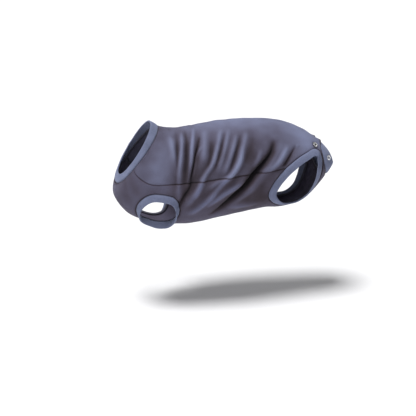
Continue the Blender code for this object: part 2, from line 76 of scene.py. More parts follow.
# Folds and creases, each with its crest's height and half width in metres and its path over the
# cloth, as places along the suit and turns from the back line
Fold = namedtuple("Fold", "height width path")
FOLDS = (
    Fold(0.0022, 0.0060, ((0.140, 0.132), (0.208, 0.320), (0.240, 0.445))),
    Fold(0.0036, 0.0042, ((0.228, 0.100), (0.238, 0.288), (0.248, 0.430), (0.272, 0.615))),
    Fold(0.0040, 0.0042, ((0.318, 0.075), (0.300, 0.228), (0.300, 0.352), (0.302, 0.545))),
    Fold(0.0030, 0.0026, ((0.352, 0.245), (0.328, 0.300), (0.315, 0.448), (0.305, 0.522),
                          (0.290, 0.600))),
    Fold(0.0024, 0.0075, ((0.378, 0.115), (0.368, 0.265), (0.362, 0.350))),
    Fold(0.0040, 0.0042, ((0.458, 0.145), (0.435, 0.262), (0.408, 0.375), (0.368, 0.473),
                          (0.342, 0.600))),
    Fold(0.0026, 0.0042, ((0.498, 0.155), (0.468, 0.292), (0.438, 0.430))),
    Fold(0.0026, 0.0044, ((0.535, 0.200), (0.503, 0.330), (0.470, 0.460))),
    Fold(0.0044, 0.0048, ((0.585, 0.200), (0.558, 0.312), (0.542, 0.398), (0.508, 0.478),
                          (0.465, 0.530), (0.410, 0.630))),
    Fold(0.0018, 0.0040, ((0.650, 0.330), (0.635, 0.395), (0.612, 0.450))),
    Fold(0.0034, 0.0050, ((0.785, 0.300), (0.738, 0.430), (0.682, 0.510))),
    Fold(0.0018, 0.0026, ((0.845, 0.265), (0.815, 0.350), (0.785, 0.430))),
    Fold(0.0024, 0.0052, ((0.368, 0.500), (0.338, 0.590), (0.308, 0.675))),
    Fold(0.0030, 0.0052, ((0.440, 0.595), (0.385, 0.670), (0.335, 0.745))),
    Fold(0.0020, 0.0048, ((0.470, 0.500), (0.432, 0.524), (0.400, 0.550))),
    Fold(0.0032, 0.0052, ((0.560, 0.560), (0.470, 0.625), (0.400, 0.700))),
    Fold(0.0022, 0.0070, ((0.505, 0.753), (0.580, 0.775), (0.665, 0.790))),
    Fold(0.0016, 0.0060, ((0.680, 0.520), (0.600, 0.640), (0.520, 0.720))),
    Fold(-0.0074, 0.0032, ((0.345, 0.165), (0.322, 0.298), (0.312, 0.405), (0.308, 0.515),
                           (0.290, 0.605), (0.278, 0.700))),
    Fold(-0.0105, 0.0056, ((0.718, 0.270), (0.702, 0.350), (0.665, 0.425), (0.620, 0.500),
                           (0.578, 0.585), (0.518, 0.670), (0.475, 0.738), (0.435, 0.790))),
    Fold(0.0015, 0.0046, ((0.755, 0.285), (0.738, 0.350), (0.705, 0.440), (0.660, 0.515),
                          (0.610, 0.600), (0.550, 0.690))),
    Fold(-0.0056, 0.0036, ((0.835, 0.285), (0.795, 0.392), (0.765, 0.465))),
    Fold(-0.0028, 0.0058, ((0.185, 0.070), (0.215, 0.288), (0.242, 0.430), (0.262, 0.560))),
    Fold(-0.0032, 0.0052, ((0.258, 0.075), (0.272, 0.290), (0.288, 0.512))),
    Fold(-0.0022, 0.0050, ((0.402, 0.200), (0.402, 0.345), (0.380, 0.460))),
    Fold(-0.0020, 0.0046, ((0.480, 0.160), (0.452, 0.300), (0.425, 0.420))),
    Fold(-0.0020, 0.0050, ((0.560, 0.190), (0.530, 0.320), (0.500, 0.440))),
    Fold(-0.0018, 0.0070, ((0.620, 0.220), (0.596, 0.330), (0.575, 0.420))),
)
FOLD_STEPS = 6
FOLD_END = 0.04
FOLD_FADE = 0.8
FOLD_POWER = 1.7
MOAT = 0.34  # depth of the valleys beside a crest, as a share of its height
MOAT_WIDTH = 3.0

JERSEY = 0.0013
RIB = 0.0022
COLLAR_BAND = 0.015
TAIL_BAND = 0.021
BY_THE_COLLAR = 0.03
BY_THE_TAIL = 0.98
ROLLED_EDGE = 0.0012
ROLL_WIDTH = 0.0014
RIPPLE = 0.0007
RIPPLE_SIZE = 0.018
LOWEST_CREASE = -0.0065
HIGHEST_CREST = 0.0040
TAIL_LIP = 0.0044
TAIL_LIP_DEPTH = 0.0085
TAIL_LIP_TURN = 0.135
TAIL_LIP_SPREAD = 0.070

# Patches of painted light on the cloth's colour, such as on the top of the back and on the rump: place,
# spread and amount, which is below zero for a patch of painted shade
LitPatch = namedtuple("LitPatch", "along turn long high amount")
PAINTED_LIGHT_PATCHES = (
    LitPatch(0.900, 0.190, 0.090, 0.200, 0.30),
    LitPatch(0.600, 0.000, 0.330, 0.150, 0.27),
    LitPatch(0.150, 0.380, 0.060, 0.220, 0.16),
    LitPatch(0.770, 0.330, 0.045, 0.100, 0.08),
    LitPatch(0.560, 0.900, 0.200, 0.200, 0.06),
    LitPatch(0.330, 0.420, 0.060, 0.200, -0.10),
    LitPatch(0.620, 0.420, 0.050, 0.180, -0.10),
    LitPatch(0.650, 0.740, 0.110, 0.150, -0.20),
)
SEAM_SHADE = 0.50

# The upper snap clamps the cloth flat round its middle, this far from the panel's rear edge
SNAP_TURN = 0.262
SNAP_INSET = 0.0206
SNAP_CLAMP = 0.0080
SNAP_DENT = 0.0005
SNAP_DIAMETER = 0.0092


def smooth_rows(table, place):
    """Rows of a table, whose first column is the place, read smoothly at any place."""
    rows = np.asarray(table, float)
    knots, values = rows[:, 0], rows[:, 1:]
    slopes = np.gradient(values, knots, axis=0)
    row = np.clip(np.searchsorted(knots, place, side="right") - 1, 0, len(knots) - 2)
    step = (knots[row + 1] - knots[row])[:, None]
    u = (place[:, None] - knots[row][:, None]) / step
    level = values[row] + (values[row + 1] - values[row]) * u * u * (3.0 - 2.0 * u)
    ease = slopes[row] * u * (1.0 - u) ** 2 + slopes[row + 1] * u * u * (u - 1.0)
    return level + step * ease


def form_rows():
    """Top, bottom and half width of each section, with the withers' top at the origin."""
    rows = []
    for part in WORN_FORM:
        lean = np.radians(part.lean)
        reach = 0.5 * part.depth * np.array((np.sin(lean), np.cos(lean)))
        centre = np.array((part.centre_x, part.centre_z))
        rows.append((part.along, *(centre + reach), *(centre - reach), 0.5 * part.width))
    rows = np.array(rows)
    rows[:, 3:5] -= rows[WITHERS, 1:3]
    rows[:, 1:3] -= rows[WITHERS, 1:3].copy()
    return rows


FORM = form_rows()


def rounded(value):
    """Power that turns a circle's sine or cosine into the slightly squarer worn section."""
    return np.sign(value) * np.abs(value) ** (2.0 / ROUNDNESS)


def body(along, turn):
    """Points of the worn form, turn being measured along the girth."""
    along, turn = np.broadcast_arrays(np.atleast_1d(along), np.atleast_1d(turn))
    turn = (turn + 1.0) % 2.0 - 1.0
    rows = smooth_rows(FORM, along)
    top, bottom, half_width = rows[:, 0:2], rows[:, 2:4], rows[:, 4]
    half_depth = 0.5 * np.linalg.norm(top - bottom, axis=1)
    angles = np.linspace(0.0, np.pi, GIRTH_STEPS + 1)
    across = half_width[:, None] * rounded(np.sin(angles))
    upward = half_depth[:, None] * rounded(np.cos(angles))
    girth = np.cumsum(np.hypot(np.diff(across), np.diff(upward)), axis=1)
    share = np.hstack((np.zeros((len(along), 1)), girth / girth[:, -1:]))
    step = np.clip((share < np.abs(turn)[:, None]).sum(axis=1), 1, GIRTH_STEPS)
    line = np.arange(len(along))
    before = share[line, step - 1]
    angle = (step - 1 + (np.abs(turn) - before) / (share[line, step] - before)) * np.pi / GIRTH_STEPS
    level = 0.5 * (top + bottom) + 0.5 * rounded(np.cos(angle))[:, None] * (top - bottom)
    return np.stack((level[:, 0], half_width * rounded(np.sin(angle)) * np.sign(turn), level[:, 1]), axis=1)


def slopes(along, turn):
    """Change of the form's point for one whole share of along, and of turn."""
    step = 0.004
    lengthwise = (body(along + step, turn) - body(along - step, turn)) / (2.0 * step)
    girthwise = (body(along, turn + step) - body(along, turn - step)) / (2.0 * step)
    return lengthwise, girthwise


def lengths(along, turn):
    """Metres of cloth in one whole share of along, and of turn."""
    lengthwise, girthwise = slopes(np.atleast_1d(along), np.atleast_1d(turn))
    return np.linalg.norm(lengthwise, axis=1), np.linalg.norm(girthwise, axis=1)


def outward(along, turn):
    """Unit normals of the worn form."""
    normal = np.cross(*slopes(along, turn))
    return normal / np.linalg.norm(normal, axis=1)[:, None]


FLAT_LENGTH, FLAT_HALF_GIRTH = (float(size[0]) for size in lengths(0.5, 0.5))


def curve_through(points, count, closed=False):
    """A smooth curve through the points, read at count places."""
    points = np.asarray(points, float)
    if closed:
        spots = np.linspace(0.0, len(points), count, endpoint=False)
        first = spots.astype(int)
        a, b, c, d = (points[(first + shift) % len(points)] for shift in (-1, 0, 1, 2))
    else:
        spots = np.linspace(0.0, len(points) - 1.0, count)
        first = np.minimum(spots.astype(int), len(points) - 2)
        a, b, c, d = (points[np.clip(first + shift, 0, len(points) - 1)] for shift in (-1, 0, 1, 2))
    u = (spots - first)[:, None]
    bend = 2.0 * a - 5.0 * b + 4.0 * c - d
    twist = 3.0 * (b - c) + d - a
    return b + 0.5 * u * (c - a + u * (bend + u * twist))


def distance_to(path, spots):
    """Distance of each flat spot to a path, and the share of the path at its nearest point."""
    nearest = np.full(len(spots), np.inf)
    reached = np.zeros(len(spots))
    for number, (start, end) in enumerate(zip(path[:-1], path[1:])):
        run = end - start
        share = np.clip(((spots - start) @ run) / max(run @ run, 1e-12), 0.0, 1.0)
        gap = np.linalg.norm(spots - start - share[:, None] * run, axis=1)
        reached = np.where(gap < nearest, (number + share) / (len(path) - 1), reached)
        nearest = np.minimum(nearest, gap)
    return nearest, reached


def collar_edge(turn):
    """Place along of the seam between the neck binding and the panels."""
    return COLLAR_BAND / lengths(np.full(len(turn), BY_THE_COLLAR), turn)[0]


def tail_edge(turn):
    """Place along of the seam between the panels and the tail binding."""
    return 1.0 - TAIL_BAND / lengths(np.full(len(turn), BY_THE_TAIL), turn)[0]


def snap_distance(along, turn):
    """Metres over the cloth from the middle of the nearest upper snap."""
    level = np.full(1, SNAP_TURN)
    edge = tail_edge(level)
    middle = edge - SNAP_INSET / lengths(edge, level)[0]
    lengthwise, girthwise = lengths(middle, level)
    return np.hypot((along - middle) * lengthwise, (np.abs(turn) - SNAP_TURN) * girthwise)


def tightness(along, turn):
    """Painted light that the patches add, below zero for painted shade, as a share of the whole range of
    shades.
    """
    paler = np.zeros(len(along))
    for spot in PAINTED_LIGHT_PATCHES:
        beside = ((along - spot.along) / spot.long) ** 2 + ((np.abs(turn) - spot.turn) / spot.high) ** 2
        paler += spot.amount * np.exp(-beside)
    return paler


def fold_height(along, turn):
    """Height that the folds, creases and ripples add to the cloth."""
    scale = np.array((FLAT_LENGTH, FLAT_HALF_GIRTH))
    spots = np.stack((along, np.abs(turn)), axis=1) * scale
    height = np.zeros(len(along))
    for fold in FOLDS:
        path = curve_through(fold.path, FOLD_STEPS * len(fold.path)) * scale
        gap, reached = distance_to(path, spots)
        fade = np.sin(np.pi * (FOLD_END + (1.0 - 2.0 * FOLD_END) * reached)) ** FOLD_FADE
        across = np.exp(-(gap / fold.width) ** FOLD_POWER)
        if fold.height > 0.0:
            across = (1.0 + MOAT) * across - MOAT * np.exp(-(gap / (MOAT_WIDTH * fold.width)) ** 2)
        height += fold.height * fade * across
    ripple = [noise.noise(Vector((a * FLAT_LENGTH, t * FLAT_HALF_GIRTH, 0.5)) / RIPPLE_SIZE)
              for a, t in zip(along, turn)]
    clamp = np.exp(-(snap_distance(along, turn) / SNAP_CLAMP) ** 4)
    return (height + RIPPLE * np.array(ripple)) * (1.0 - clamp) - SNAP_DENT * clamp


def wrap(along, turn, height=0.0):
    """Points on the worn cloth, height metres out from its inner face."""
    along, turn = np.broadcast_arrays(np.atleast_1d(along), np.atleast_1d(turn))
    turn = (turn + 1.0) % 2.0 - 1.0
    return body(along, turn) + outward(along, turn) * (fold_height(along, turn) + height)[:, None]


def seam_turn(along):
    """Turn of the side seam."""
    return smooth_rows(SIDE_SEAM, along)[:, 0]


# The leg hole's edge, in shares of its length from its front and of its height from its top
LEG_HOLE_LENGTH = 0.122
LEG_HOLE_HEIGHT = 0.117
TAIL_STRAP = 0.005
CROTCH_STRIP = 0.050
LEG_EDGE = (
    (0.28, 0.32), (0.42, 0.22), (0.57, 0.13), (0.73, 0.06), (0.90, 0.01),
    (0.985, 0.06), (1.00, 0.22), (0.99, 0.42), (0.93, 0.68), (0.79, 0.89),
    (0.55, 1.00), (0.27, 0.97), (0.06, 0.84), (0.00, 0.68), (0.10, 0.50),
)
tail_seam = float(tail_edge(np.array((0.6,)))[0])
leg_along, leg_girth = (float(size[0]) for size in lengths(0.80, 0.60))
rear_along = float(lengths(0.95, 0.60)[0][0])
leg_long = LEG_HOLE_LENGTH / (0.5 * (leg_along + rear_along))
leg_high = LEG_HOLE_HEIGHT / leg_girth
leg_front = tail_seam - TAIL_STRAP / rear_along - leg_long
leg_top = 1.0 - 0.5 * CROTCH_STRIP / leg_girth - leg_high


def leg_outline(count):
    curve = curve_through(LEG_EDGE, count, closed=True)
    return np.array((leg_front, leg_top)) + curve * np.array((leg_long, leg_high))


def place_vertices(mesh, points):
    mesh.vertices.foreach_set("co", np.asarray(points, np.float32).ravel())
    mesh.update()


def vertex_points(mesh):
    points = np.empty(3 * len(mesh.vertices))
    mesh.vertices.foreach_get("co", points)
    return points.reshape(-1, 3)


def deselect():
    for item in bpy.context.selected_objects:
        item.select_set(False)


def apply_modifiers(piece):
    deselect()
    piece.select_set(True)
    bpy.context.view_layer.objects.active = piece
    for modifier in list(piece.modifiers):
        bpy.ops.object.modifier_apply(modifier=modifier.name)


def flat_cutter(outline):
    """A prism through the flat pattern, in the shape of a hole."""
    deselect()
    bpy.ops.mesh.primitive_circle_add(vertices=len(outline), fill_type="NGON")
    cutter = bpy.context.object
    place_vertices(cutter.data, np.hstack((outline, np.full((len(outline), 1), -1.0))))
    bpy.ops.object.mode_set(mode="EDIT")
    bpy.ops.mesh.select_all(action="SELECT")
    bpy.ops.mesh.extrude_region_move(TRANSFORM_OT_translate={"value": (0.0, 0.0, 2.0)})
    bpy.ops.mesh.select_all(action="SELECT")
    bpy.ops.mesh.normals_make_consistent(inside=False)
    bpy.ops.object.mode_set(mode="OBJECT")
    cutter.hide_render = True
    return cutter


def drawn_in(share, pull):
    """Shares from -1 to 1 with their rows drawn closer together at both ends."""
    return share + 0.5 * pull * (share - share ** 3)


def tail_lip(along, turn):
    """Share of the lift, from 0 to 1, of the back panel's rear edge over the tail binding."""
    behind = (tail_edge(turn) - along) * lengths(along, turn)[0]
    beside = (np.abs(turn) - TAIL_LIP_TURN) / TAIL_LIP_SPREAD
    return np.exp(-(behind / TAIL_LIP_DEPTH) ** 2 - beside ** 2)


PANEL_COLUMNS = 190
PANEL_ROWS = 130
EDGE_PULL = 0.7
PATTERN_SLAB = 0.1
PATTERN_WELD = 0.0004


def cut_panel(name, edge_share, turn_of, outlines):
    """A panel's flat pattern with its holes cut, wrapped on the worn form with a jersey's wall.

    edge_share gives the flat share of the side seam and turn_of the turn of a flat share.
    """
    deselect()
    bpy.ops.mesh.primitive_grid_add(x_subdivisions=PANEL_COLUMNS, y_subdivisions=PANEL_ROWS, size=1.0)
    panel = bpy.context.object
    panel.name = name
    flat = vertex_points(panel.data)
    run = 0.5 + 0.5 * drawn_in(2.0 * flat[:, 0], EDGE_PULL)
    across = drawn_in(2.0 * flat[:, 1], EDGE_PULL)
    along = run
    for again in range(2):
        turn = turn_of(across * edge_share(along))
        first, last = collar_edge(turn), tail_edge(turn)
        along = first + run * (last - first)
    flat[:, 0] = along
    flat[:, 1] = across * edge_share(along)
    place_vertices(panel.data, flat)
    slab = panel.modifiers.new("slab", "SOLIDIFY")
    slab.thickness = PATTERN_SLAB
    slab.offset = 0.0
    cutters = [flat_cutter(outline) for outline in outlines]
    for cutter in cutters:
        cut = panel.modifiers.new("cut", "BOOLEAN")
        cut.operation = "DIFFERENCE"
        cut.object = cutter
    apply_modifiers(panel)
    for cutter in cutters:
        bpy.data.objects.remove(cutter)
    bm = bmesh.new()
    bm.from_mesh(panel.data)
    bm.normal_update()
    bmesh.ops.delete(bm, geom=[face for face in bm.faces if face.normal.z < 0.5], context="FACES")
    bmesh.ops.remove_doubles(bm, verts=bm.verts, dist=PATTERN_WELD)
    bmesh.ops.triangulate(bm, faces=[face for face in bm.faces if len(face.verts) > 4])
    chart = bm.loops.layers.uv.new("flat_cloth")
    edge_verts = {vert for edge in bm.edges if edge.is_boundary for vert in edge.verts}
    flat = np.array([vert.co for vert in bm.verts])
    turn = turn_of(flat[:, 1])
    spots = np.stack((flat[:, 0] * FLAT_LENGTH, flat[:, 1] * FLAT_HALF_GIRTH), axis=1)
    rim = np.array([vert in edge_verts for vert in bm.verts])
    lift = tail_lip(flat[:, 0], turn) * (np.abs(turn) < 0.5)
    roll = roll_depth(spots, spots[rim])
    placed = wrap(flat[:, 0], turn, lift * TAIL_LIP - (1.0 - lift) * roll)
    bm.verts.index_update()
    for face in bm.faces:
        for loop in face.loops:
            loop[chart].uv = spots[loop.vert.index]
    for vert, point in zip(bm.verts, placed):
        vert.co = point
    bm.to_mesh(panel.data)
    bm.free()
    # The cloth's colour is painted from the folds' heights: a painted highlight on the crests, painted shade
    # in the valleys and creases, nearly black at a crease's bottom
    painted_shading = panel.data.attributes.new("painted_shading", "FLOAT", "POINT")
    level = (fold_height(flat[:, 0], turn) - LOWEST_CREASE) / (HIGHEST_CREST - LOWEST_CREASE)
    # Patches of painted light and painted shade, and painted shade along the rolled cut edges
    level += tightness(flat[:, 0], turn) - SEAM_SHADE * roll / ROLLED_EDGE
    # A painted shadow, nearly black, in the cloth in the middle of each upper snap ring
    level -= np.exp(-(snap_distance(flat[:, 0], turn) / (0.5 * SNAP_DIAMETER)) ** 4)
    painted_shading.data.foreach_set("value", np.clip(level, 0.0, 1.0).astype(np.float32))
    # A pattern whose middle is the belly line is wrapped the other way round, with its back outwards
    if abs(turn_of(np.zeros(1))[0]) > 0.5:
        panel.data.flip_normals()
    wall = panel.modifiers.new("wall", "SOLIDIFY")
    wall.thickness = JERSEY
    wall.offset = 1.0
    apply_modifiers(panel)
    panel.data.shade_smooth()
    return panel


def roll_depth(spots, rim_spots):
    """How far the cloth rolls inwards at each flat spot near the cut edge."""
    depth = np.zeros(len(spots))
    for start in range(0, len(spots), 4000):
        block = spots[start:start + 4000]
        gap = np.linalg.norm(block[:, None, :] - rim_spots[None, :, :], axis=2).min(axis=1)
        depth[start:start + 4000] = ROLLED_EDGE * np.exp(-(gap / ROLL_WIDTH) ** 2)
    return depth


def mirrored(outline, across):
    """The hole's outline on both sides, with across as the flat sideways share."""
    right = np.stack((outline[:, 0], across), axis=1)
    return right, right[::-1] * np.array((1.0, -1.0))


LEG_POINTS = 180
leg_hole = leg_outline(LEG_POINTS)
back_panel = cut_panel("back_jersey", seam_turn, lambda across: across, mirrored(leg_hole, leg_hole[:, 1]))

PAINTED_SHADING_STEPS = (0.06, 0.42, 0.62, 0.97)
WALE_WIDTH = 0.0007
COURSE_HEIGHT = 0.0006

# The jersey's knit, its wales running along the suit and its courses round it
knit = bpy.data.node_groups.new("knit", "ShaderNodeTree")
KNIT_SOCKETS = (
    ("Chart", "NodeSocketVector", "INPUT"),
    ("Wale Width", "NodeSocketFloat", "INPUT"),
    ("Course Height", "NodeSocketFloat", "INPUT"),
    ("Loops", "NodeSocketFloat", "OUTPUT"),
    ("Heather", "NodeSocketFloat", "OUTPUT"),
)
for label, kind, flow in KNIT_SOCKETS:
    knit.interface.new_socket(label, in_out=flow, socket_type=kind)


def add_node(tree, kind, **settings):
    node = tree.nodes.new("ShaderNode" + kind)
    for key, value in settings.items():
        setattr(node, key, value)
    return node


def maths(tree, operation, first, second=None, third=None):
    """One sum on the surface: each of the values is a number or a socket."""
    node = add_node(tree, "Math", operation=operation)
    for socket, value in zip(node.inputs, (first, second, third)):
        if value is None:
            continue
        if isinstance(value, (int, float)):
            socket.default_value = value
        else:
            tree.links.new(value, socket)
    return node.outputs[0]


def build_knit(tree):
    source = tree.nodes.new("NodeGroupInput")
    result = tree.nodes.new("NodeGroupOutput")
    split = add_node(tree, "SeparateXYZ")
    tree.links.new(source.outputs["Chart"], split.inputs[0])
    wale = maths(tree, "DIVIDE", split.outputs[1], source.outputs["Wale Width"])
    course = maths(tree, "DIVIDE", split.outputs[0], source.outputs["Course Height"])
    column = maths(tree, "ABSOLUTE", maths(tree, "SINE", maths(tree, "MULTIPLY", wale, np.pi)))
    slant = maths(tree, "PINGPONG", wale, 0.5)
    row = maths(tree, "SINE", maths(tree, "MULTIPLY", maths(tree, "ADD", course, slant), 2.0 * np.pi))
    loops = maths(tree, "MULTIPLY", column, maths(tree, "MULTIPLY_ADD", row, 0.3, 0.7))
    tree.links.new(loops, result.inputs["Loops"])
    fleck = add_node(tree, "TexNoise", noise_dimensions="2D")
    fleck.inputs["Scale"].default_value = 900.0
    fleck.inputs["Detail"].default_value = 3.0
    tree.links.new(source.outputs["Chart"], fleck.inputs["Vector"])
    tree.links.new(fleck.outputs["Fac"], result.inputs["Heather"])


build_knit(knit)


def jersey_finish(name, shades):
    """Fine elastic jersey: heathered yarn, small knit loops, a painted highlight on the folds' crests and
    painted shade in their creases.

    shades are the colours painted from the folds: painted shade at the bottom of a crease and in a valley,
    the plain cloth, and a painted highlight on a crest.
    """
    finish = bpy.data.materials.new(name)
    finish.use_nodes = True
    tree = finish.node_tree
    shader = tree.nodes["Principled BSDF"]
    chart = add_node(tree, "UVMap", uv_map="flat_cloth")
    loops = tree.nodes.new("ShaderNodeGroup")
    loops.node_tree = knit
    loops.inputs["Wale Width"].default_value = WALE_WIDTH
    loops.inputs["Course Height"].default_value = COURSE_HEIGHT
    tree.links.new(chart.outputs[0], loops.inputs["Chart"])
    patches = add_node(tree, "TexNoise")
    patches.inputs["Scale"].default_value = 45.0
    patches.inputs["Detail"].default_value = 4.0
    place = add_node(tree, "TexCoord")
    tree.links.new(place.outputs["Object"], patches.inputs["Vector"])
    shade = maths(tree, "ADD", maths(tree, "MULTIPLY", loops.outputs["Heather"], 0.75),
                  maths(tree, "MULTIPLY", patches.outputs["Fac"], 0.25))
    shade = maths(tree, "MULTIPLY", shade, maths(tree, "MULTIPLY_ADD", loops.outputs["Loops"], 0.35, 0.75))
    # The level of painted highlight and painted shade that the panel carries
    painted_shading_level = add_node(tree, "Attribute", attribute_name="painted_shading")
    ramp = add_node(tree, "ValToRGB")
    for position, colour in zip(PAINTED_SHADING_STEPS, shades):
        stop = ramp.color_ramp.elements.new(position)
        stop.color = (*colour, 1.0)
    ramp.color_ramp.elements.remove(ramp.color_ramp.elements[-1])
    ramp.color_ramp.elements.remove(ramp.color_ramp.elements[0])
    flecks = maths(tree, "MULTIPLY_ADD", shade, 0.42, -0.19)
    tree.links.new(maths(tree, "ADD", painted_shading_level.outputs["Fac"], flecks), ramp.inputs[0])
    tree.links.new(ramp.outputs[0], shader.inputs["Base Color"])
    bump = add_node(tree, "Bump")
    bump.inputs["Strength"].default_value = 0.5
    bump.inputs["Distance"].default_value = 0.0003
    tree.links.new(loops.outputs["Loops"], bump.inputs["Height"])
    tree.links.new(bump.outputs[0], shader.inputs["Normal"])
    rough = maths(tree, "MULTIPLY_ADD", loops.outputs["Loops"], -0.10, 0.92)
    tree.links.new(rough, shader.inputs["Roughness"])
    shader.inputs["Sheen Weight"].default_value = 0.12
    shader.inputs["Sheen Roughness"].default_value = 0.30
    shader.inputs["Sheen Tint"].default_value = (0.80, 0.84, 1.0, 1.0)
    shader.inputs["Specular IOR Level"].default_value = 0.25
    return finish


# Painted shade at a crease's bottom and in a valley, plain jersey, and a painted highlight on a crest
back_lit_and_shaded = ((0.006, 0.004, 0.007), (0.040, 0.031, 0.043), (0.092, 0.086, 0.133), (0.190, 0.210, 0.330))
back_panel.data.materials.append(jersey_finish("jersey", back_lit_and_shaded))
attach(back_panel, "root")
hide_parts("back_panel")

# Belly panel
# The lower half of the tube, of the same jersey, with both armholes cut out of it and the lower
# part of both leg holes. It is sewn to the back panel along the side seams.
ARMHOLE_LENGTH = 0.074
ARMHOLE_HEIGHT = 0.070
STERNUM_STRIP = 0.042
SHOULDER_STRIP = 0.050
ARM_EDGE = (
    (0.20, 0.06), (0.48, 0.00), (0.76, 0.04), (0.94, 0.24), (1.00, 0.54),
    (0.86, 0.87), (0.52, 1.00), (0.16, 0.87), (0.00, 0.54), (0.04, 0.24),
)
arm_along, arm_girth = (float(size[0]) for size in lengths(0.20, 0.75))
arm_long = ARMHOLE_LENGTH / arm_along
arm_high = ARMHOLE_HEIGHT / arm_girth
arm_front = float(collar_edge(np.array((0.75,)))[0]) + SHOULDER_STRIP / arm_along
arm_top = 1.0 - 0.5 * STERNUM_STRIP / arm_girth - arm_high


def arm_outline(count):
    curve = curve_through(ARM_EDGE, count, closed=True)
    return np.array((arm_front, arm_top)) + curve * np.array((arm_long, arm_high))


def belly_turn(across):
    """Turn of a flat place on the belly panel, whose middle is the belly line."""
    return np.where(across < 0.0, -1.0 - across, 1.0 - across)


ARM_POINTS = 120
arm_hole = arm_outline(ARM_POINTS)
belly_holes = [*mirrored(leg_hole, 1.0 - leg_hole[:, 1]), *mirrored(arm_hole, 1.0 - arm_hole[:, 1])]
belly_panel = cut_panel("belly_jersey", lambda along: 1.0 - seam_turn(along), belly_turn, belly_holes)
# The same jersey's colours painted darker, as painted shade on the underside, with painted shade in the
# creases and a painted highlight on the crests
belly_lit_and_shaded = ((0.006, 0.004, 0.006), (0.038, 0.028, 0.038), (0.082, 0.072, 0.108), (0.155, 0.170, 0.285))
belly_panel.data.materials.append(jersey_finish("belly_jersey", belly_lit_and_shaded))
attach(belly_panel, "root")
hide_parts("belly_panel")

# Side seams: the two cut edges lie turned in on the inner face, overlocked with thread loops
SEAM_WIDTH = 0.0046
SEAM_THICKNESS = 0.0016
LOOP_PITCH = 0.0012
LOOP_STATIONS = 4
LOOP_RELIEF = 0.00022
STRIP_SIDES = 12
TUBE_WELD = 0.000001


def unit(vectors):
    return vectors / np.linalg.norm(vectors, axis=-1, keepdims=True)


def wrapped_grid(name, outline, closed):
    """A grid made into a tube through rows of points, one row for each side of the tube."""
    sides, count = outline.shape[:2]
    deselect()
    steps = count if closed else count - 1
    bpy.ops.mesh.primitive_grid_add(x_subdivisions=steps, y_subdivisions=sides, size=1.0)
    tube = bpy.context.object
    tube.name = name
    flat = vertex_points(tube.data) + 0.5
    station = np.rint(flat[:, 0] * steps).astype(int) % count
    row = np.rint(flat[:, 1] * sides).astype(int) % sides
    place_vertices(tube.data, outline[row, station])
    bpy.ops.object.mode_set(mode="EDIT")
    bpy.ops.mesh.select_all(action="SELECT")
    bpy.ops.mesh.remove_doubles(threshold=TUBE_WELD)
    bpy.ops.mesh.fill_holes(sides=sides)
    bpy.ops.mesh.select_all(action="SELECT")
    bpy.ops.mesh.normals_make_consistent(inside=False)
    bpy.ops.object.mode_set(mode="OBJECT")
    tube.data.shade_smooth()
    return tube


def thread_finish(name, dark, pale):
    """Spun polyester thread: a soft satin with darker gaps between its turns."""
    finish = bpy.data.materials.new(name)
    finish.use_nodes = True
    tree = finish.node_tree
    shader = tree.nodes["Principled BSDF"]
    place = add_node(tree, "TexCoord")
    turns = add_node(tree, "TexNoise")
    turns.inputs["Scale"].default_value = 2400.0
    turns.inputs["Detail"].default_value = 2.0
    tree.links.new(place.outputs["Object"], turns.inputs["Vector"])
    ramp = add_node(tree, "ValToRGB")
    ramp.color_ramp.elements[0].position = 0.35
    ramp.color_ramp.elements[0].color = (*dark, 1.0)
    ramp.color_ramp.elements[1].position = 0.65
    ramp.color_ramp.elements[1].color = (*pale, 1.0)
    tree.links.new(turns.outputs["Fac"], ramp.inputs[0])
    tree.links.new(ramp.outputs[0], shader.inputs["Base Color"])
    tree.links.new(maths(tree, "MULTIPLY_ADD", turns.outputs["Fac"], 0.2, 0.5), shader.inputs["Roughness"])
    return finish


thread = thread_finish("thread", (0.028, 0.026, 0.040), (0.075, 0.075, 0.115))


def overlock(name, along, turn, closed):
    """The overlocked seam allowance that follows a seam on the inner face of the cloth."""
    line = wrap(along, turn, -ROLLED_EDGE - 0.3 * SEAM_THICKNESS)
    spots = line if closed else line[1:-1]
    run = np.roll(line, -1, axis=0) - np.roll(line, 1, axis=0)
    if not closed:
        along, turn, run = along[1:-1], turn[1:-1], run[1:-1]
    outs = outward(along, turn)
    beside = unit(np.cross(outs, run))
    loops = LOOP_RELIEF * np.cos(2.0 * np.pi * np.arange(len(spots)) / LOOP_STATIONS)[:, None]
    rows = []
    for angle in np.linspace(0.0, 2.0 * np.pi, STRIP_SIDES, endpoint=False):
        wide = beside * np.cos(angle) * (0.5 * SEAM_WIDTH + loops)
        thick = outs * np.sin(angle) * (0.5 * SEAM_THICKNESS + loops)
        rows.append(spots + wide + thick)
    seam = wrapped_grid(name, np.array(rows), closed)
    seam.data.materials.append(thread)
    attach(seam, "root")
    return seam


def side_seam(side):
    """Places along and turns of a side seam, from the collar to where the leg hole cuts it."""
    beyond = leg_hole[:, 1] - seam_turn(leg_hole[:, 0])
    crossed = leg_hole[:-1, 0][np.diff(np.sign(beyond)) != 0.0]
    first = float(collar_edge(np.array((0.6,)))[0])
    run = (crossed.min() - first) * FLAT_LENGTH
    along = np.linspace(first, crossed.min(), LOOP_STATIONS * round(run / LOOP_PITCH))
    return along, side * seam_turn(along)


side_seams = [overlock("side_seam_left", *side_seam(-1.0), False),
              overlock("side_seam_right", *side_seam(1.0), False)]

